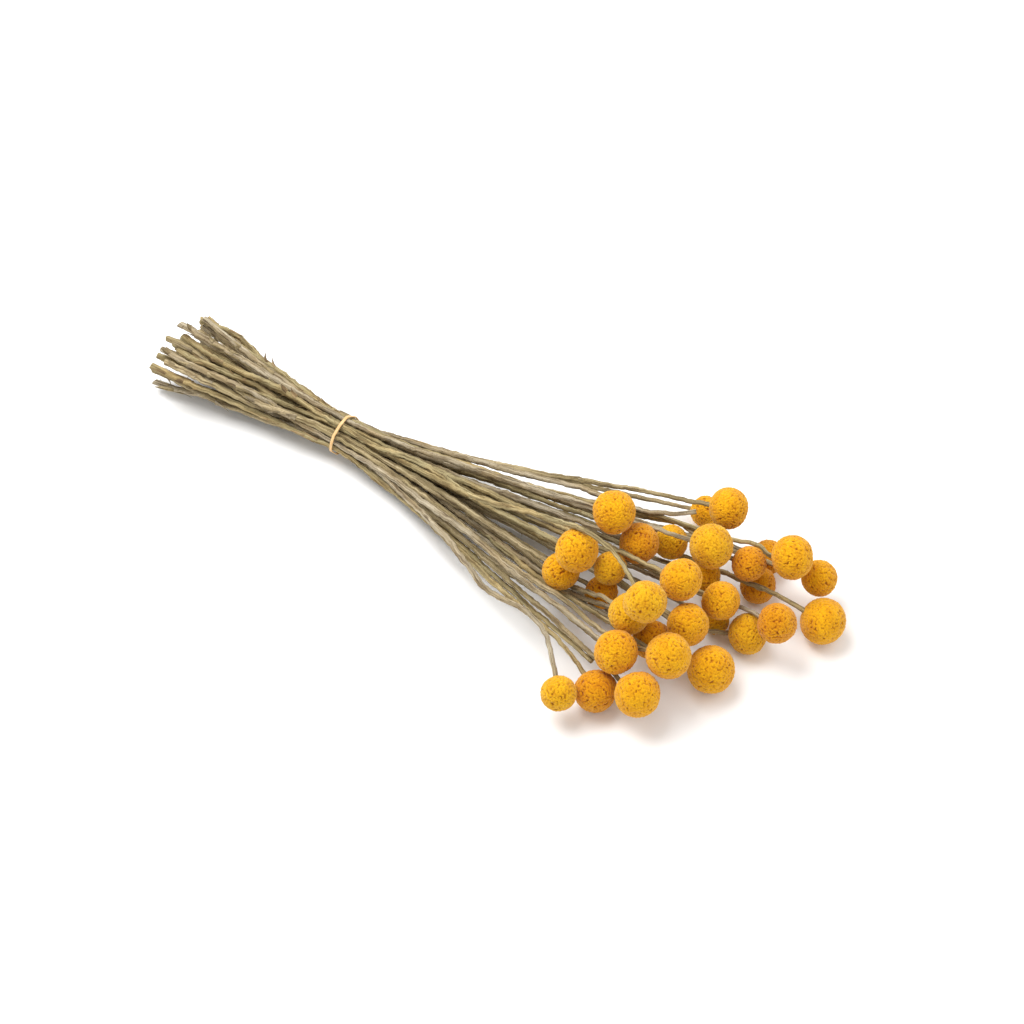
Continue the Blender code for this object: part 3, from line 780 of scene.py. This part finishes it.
def stalk(line, end_x, index, dice):
    """A ribbed, twisting, slightly knotted dry stem with a slanted cut end, and the frame it was made on."""
    points, steps = resampled(line)
    way, side, other = frames_along(points)
    points = kinked(points, steps, side, other, dice)
    radius = knotty_radius(points[:, 0], steps, end_x, dice)
    angle = np.linspace(0, 2 * math.pi, RIM, endpoint=False)[None]
    ribs = ribs_around(steps, angle, dice)
    around_here = np.cos(angle)[..., None] * side[:, None] + np.sin(angle)[..., None] * other[:, None]
    rings = points[:, None] + around_here * (radius[:, None] * (1 + ribs))[..., None]
    slant = dice.uniform(-1.0, 1.0, 2)
    rings[0] += way[0] * (slant[0] * np.cos(angle[0]) + slant[1] * np.sin(angle[0]))[:, None]
    rings[..., 2] = np.maximum(rings[..., 2], 0)
    grain = np.stack([
        np.broadcast_to(np.cos(angle) * radius[:, None], ribs.shape),
        np.broadcast_to(np.sin(angle) * radius[:, None], ribs.shape),
        np.broadcast_to(steps[:, None] + 700.0 * index, ribs.shape),
    ], axis=-1) * MM
    corners = rings.reshape(-1, 3)
    faces = []
    for k in range(len(points) - 1):
        for s in range(RIM):
            a, b = k * RIM + s, k * RIM + (s + 1) % RIM
            faces.append((a, b, b + RIM, a + RIM))
    looks = [0] * len(faces)
    last = (len(points) - 1) * RIM
    faces.append(tuple(reversed(range(RIM))))
    looks.append(1)
    faces.append(tuple(last + s for s in range(RIM)))
    looks.append(0)
    return corners, faces, looks, grain.reshape(-1, 3), (points, way, side, other, radius)


def shred(foot, out, along, length, width, curl, index):
    """A thin curled scrap of dried leaf standing on a stem, as points, faces and fibre coordinates."""
    across = np.cross(out, along)
    across /= np.linalg.norm(across)
    points, grain = [], []
    for k in range(SHRED_STEPS + 1):
        t = k / SHRED_STEPS
        bend = curl * t
        heading = math.cos(bend) * along + math.sin(bend) * out
        place = foot + length * t * heading
        half = 0.5 * width * (1 - t) ** 0.7 * (0.75 + 0.5 * math.sin(3.1 * t + index)) + 0.05
        thick = out * 0.16 * (1 - 0.6 * t)
        for s, lift in ((-1, 1), (1, 1), (1, -1), (-1, -1)):
            points.append(place + across * s * half + thick * lift)
            grain.append((s * half * 0.3 * MM, lift * 0.1 * MM, (length * t + 37.0 * index) * MM))
    faces = [(3, 2, 1, 0), tuple(4 * SHRED_STEPS + s for s in range(4))]
    for k in range(SHRED_STEPS):
        for s in range(4):
            a, b = 4 * k + s, 4 * k + (s + 1) % 4
            faces.append((a, b, b + 4, a + 4))
    return points, faces, grain


def band_loop(paths, thick, shift, look):
    """The rubber band: a soft-edged flat loop on the line of its solid."""
    inner, outer = band_corners(paths, thick)
    at = np.linspace(0, BAND_POINTS, BAND_RINGS, endpoint=False)
    low = at.astype(int)
    t = (at - low)[:, None]

    def on(loop):
        """The loop through these corners, its corners rounded."""
        before, here, after = loop[low - 1], loop[low], loop[(low + 1) % BAND_POINTS]
        start, stop = (before + here) / 2, (here + after) / 2
        return (1 - t) ** 2 * start + 2 * t * (1 - t) * here + t**2 * stop

    middle = (on(inner) + on(outer)) / 2
    away = on(outer) - on(inner)
    away /= np.linalg.norm(away, axis=1)[:, None]
    turns = np.linspace(0, 2 * math.pi, BAND_SIDES, endpoint=False)
    wide = np.sign(np.cos(turns)) * np.abs(np.cos(turns)) ** 0.6
    deep = np.sign(np.sin(turns)) * np.abs(np.sin(turns)) ** 0.6
    corners = []
    for k in range(BAND_RINGS):
        wave = 0.05 * math.sin(k * 0.31) + 0.03 * math.sin(k * 0.83 + 1)
        for s in range(BAND_SIDES):
            y, z = middle[k] + away[k] * deep[s] * BAND_THICKNESS * 0.46
            corners.append((wide[s] * (BAND_WIDTH / 2 - 0.08) + wave, y, z))
    faces = []
    for k in range(BAND_RINGS):
        here, there = k * BAND_SIDES, (k + 1) % BAND_RINGS * BAND_SIDES
        for s in range(BAND_SIDES):
            after = (s + 1) % BAND_SIDES
            faces.append((here + s, there + s, there + after, here + after))
    return finished("band_loop", corners, faces, [look], shift)


def remnants(frame_of_stem, cut_x, end_x, dice):
    """The leaf remnants and shreds of one stem, at random places on it."""
    points, way, side, other, radius = frame_of_stem
    kinds = [kind for kind in REMNANTS for _ in range(kind[0])]
    found = []
    for k, (_, by_cut, lengths, widths, curls) in enumerate(kinds):
        length, width, curl = (dice.uniform(*limits) for limits in (lengths, widths, curls))
        x = dice.uniform(cut_x + length + 1, -8) if by_cut else dice.uniform(10, end_x - 25)
        at = int(np.argmin(np.abs(points[:, 0] - x)))
        turn = dice.uniform(0, 2 * math.pi)
        out = math.cos(turn) * side[at] + math.sin(turn) * other[at]
        foot = points[at] + out * radius[at] * 0.95
        facing = -way[at] if dice.random() < 0.75 else way[at]
        found.append(shred(foot, out, facing, length, width, curl, k))
    return found


def scraps_by_stem(paths, live, thick, cut_x):
    """The larger scraps of each stem that has any: foot, way out, way along, length and width."""
    along = tangents(paths)
    found = {}
    for stem, station, out in scrap_places(paths, live, cut_x):
        way = along[stem, station]
        out = out - way * (out @ way)
        out /= np.linalg.norm(out)
        foot = paths[stem, station] + out * thick[stem, station] * 0.8
        length, width = rng.uniform(5, 10), rng.uniform(2.5, 4)
        found.setdefault(stem, []).append((foot, out, -way, length, width))
    return found


def dress_heads(middles, radii, ways, shift):
    """Puts a ball of florets in the place of each head."""
    yellows = [floret_look(*row) for row in YELLOWS]
    ball_ways, ball_faces = fine_ball()
    for i, (middle, radius) in enumerate(zip(middles, radii)):
        dice = np.random.default_rng(100 + i)
        on_floor = middle[2] < radius + ON_FLOOR
        points, seam_shade_mask, tone = ball(ball_ways, middle, radius, ways[i], on_floor, dice)
        made = finished(
            f"floret_ball_{i + 1:02d}", points, ball_faces, [yellows[HEAD_TONES[i]]], shift,
            attributes={"relief": seam_shade_mask, "tone": tone},
        )
        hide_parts(f"flower_head_{i + 1:02d}")
        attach(made, "root")


def grown_stems(lines, ends, ways, cut_x, scraps, pairs, heads):
    """Each stem with its dry leaf, listed under the stem whose solid it is part of."""
    partner = {j: i for i, j in pairs}
    grown = {}
    for i, line in enumerate(lines):
        dice = np.random.default_rng(500 + i)
        if i < heads:
            line = np.concatenate([line, [line[-1] + ways[i] * INTO_HEAD]])
        corners, faces, looks, grain, frame_of_stem = stalk(line, ends[i, 0], i, dice)
        shreds = [shred(*scrap, SCRAP_CURL, k) for k, scrap in enumerate(scraps.get(i, []))]
        shreds += remnants(frame_of_stem, cut_x[i], ends[i, 0], dice)
        for more, more_faces, more_grain in shreds:
            first = len(corners)
            corners = np.concatenate([corners, more])
            grain = np.concatenate([grain, more_grain])
            faces += [tuple(first + v for v in face) for face in more_faces]
            looks += [2] * len(more_faces)
        corners[:, 2] = np.maximum(corners[:, 2], 0)
        grown.setdefault(partner.get(i, i), []).append((corners, faces, looks, grain, STALK_TONES[i]))
    return grown


def dress_stems(grown, shift):
    """Puts the dry stems in the place of their solids. Their leaf has another straw colour."""
    straws = [stalk_look(*row) for row in STRAWS]
    cut_look = plain_look("stem_cut", (0.26, 0.19, 0.09), (0.62, 0.50, 0.28), 0.9, 900)
    for base, parts in grown.items():
        corners, faces, looks, grain, used = [], [], [], [], []
        for more, more_faces, more_looks, more_grain, tone in parts:
            first = sum(len(c) for c in corners)
            corners.append(more)
            grain.append(more_grain)
            faces += [tuple(first + v for v in face) for face in more_faces]
            begin = len(used)
            used += [straws[tone], cut_look, straws[(tone + 2) % len(straws)]]
            looks += [begin + v for v in more_looks]
        made = finished(
            f"stalk_{base + 1:02d}", np.concatenate(corners), faces, used, shift,
            face_looks=looks, attributes={"grain": np.concatenate(grain)},
        )
        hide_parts(f"stem_{base + 1:02d}")
        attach(made, "root")


def dress_band(paths, thick, shift):
    """Puts the soft-edged band in the place of its solid."""
    rubber = plain_look("rubber_tan", (0.66, 0.40, 0.16), (0.80, 0.53, 0.25), 0.55, 240)
    loop = band_loop(paths, thick, shift, rubber)
    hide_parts("rubber_band")
    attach(loop, "root")


def pale_floor():
    """The surface that the bunch lies on."""
    look, _, shader = new_material("pale_floor")
    shader.inputs["Base Color"].default_value = (FLOOR_GREY, FLOOR_GREY, FLOOR_GREY, 1)
    shader.inputs["Roughness"].default_value = 0.95
    shader.inputs["Specular IOR Level"].default_value = 0.1
    corners = [
        (x * FLOOR_HALF, y * FLOOR_HALF, FLOOR_LEVEL) for x, y in ((-1, -1), (1, -1), (1, 1), (-1, 1))
    ]
    mesh = bpy.data.meshes.new("floor")
    mesh.from_pydata(corners, [], [(0, 1, 2, 3)])
    mesh.materials.append(look)
    floor = bpy.data.objects.new("floor", mesh)
    bpy.context.scene.collection.objects.link(floor)


def camera_and_light(target):
    """The photograph's view of the bunch, under two large lamps and a white sky."""
    azimuth, elevation = math.radians(VIEW_AZIMUTH), math.radians(VIEW_ELEVATION)
    level = math.cos(elevation)
    right = Vector((math.cos(azimuth), math.sin(azimuth), 0))
    ahead = Vector((-math.sin(azimuth) * level, math.cos(azimuth) * level, -math.sin(elevation)))
    up = right.cross(ahead)
    lens = bpy.data.cameras.new("view")
    lens.lens = LENS
    lens.sensor_width = 36
    lens.clip_end = 50
    camera = bpy.data.objects.new("view", lens)
    turned = Matrix((right, up, -ahead)).transposed()
    camera.matrix_world = Matrix.Translation(target - ahead * VIEW_DISTANCE) @ turned.to_4x4()
    bpy.context.scene.collection.objects.link(camera)
    bpy.context.scene.camera = camera

    for name, offset, size, watts in LAMPS:
        lamp = bpy.data.lights.new(name, "AREA")
        lamp.size = size
        lamp.energy = watts
        place = bpy.data.objects.new(name, lamp)
        spot = target + right * offset[0] + up * offset[1] + ahead * offset[2]
        aim = (target - spot).to_track_quat("-Z", "Y")
        place.matrix_world = Matrix.Translation(spot) @ aim.to_matrix().to_4x4()
        bpy.context.scene.collection.objects.link(place)
    world = bpy.data.worlds.new("studio")
    world.use_nodes = True
    sky = world.node_tree.nodes["Background"]
    sky.inputs["Color"].default_value = (1, 1, 1, 1)
    sky.inputs["Strength"].default_value = WORLD_STRENGTH
    bpy.context.scene.world = world
    bpy.context.scene.view_settings.view_transform = "Standard"


def main():
    """Lays out the bunch as its solids are, dresses each piece, and sets the stage."""
    middles, radii = settled_heads()
    ways = neck_directions(middles)
    ends = stem_ends(middles, radii, ways)
    paths, cut_x = first_routes(ends, ways)
    paths, live, thick, pairs = settled_stems(paths, cut_x, ends, ways, middles, radii)
    lines = [
        line_of(paths[i], live[i], cut_x[i], ends[i], ways[i]) for i in range(len(ends))
    ]
    everything = np.concatenate([middles + radii[:, None], middles - radii[:, None], *lines])
    low, high = everything.min(axis=0), everything.max(axis=0)
    shift = np.array((-(low[0] + high[0]) / 2, -(low[1] + high[1]) / 2, 0.0))

    dress_heads(middles, radii, ways, shift)
    scraps = scraps_by_stem(paths, live, thick, cut_x)
    dress_stems(grown_stems(lines, ends, ways, cut_x, scraps, pairs, len(radii)), shift)
    dress_band(paths, thick, shift)
    pale_floor()
    camera_and_light(Vector((np.array(VIEW_TARGET) + shift) * MM))


main()
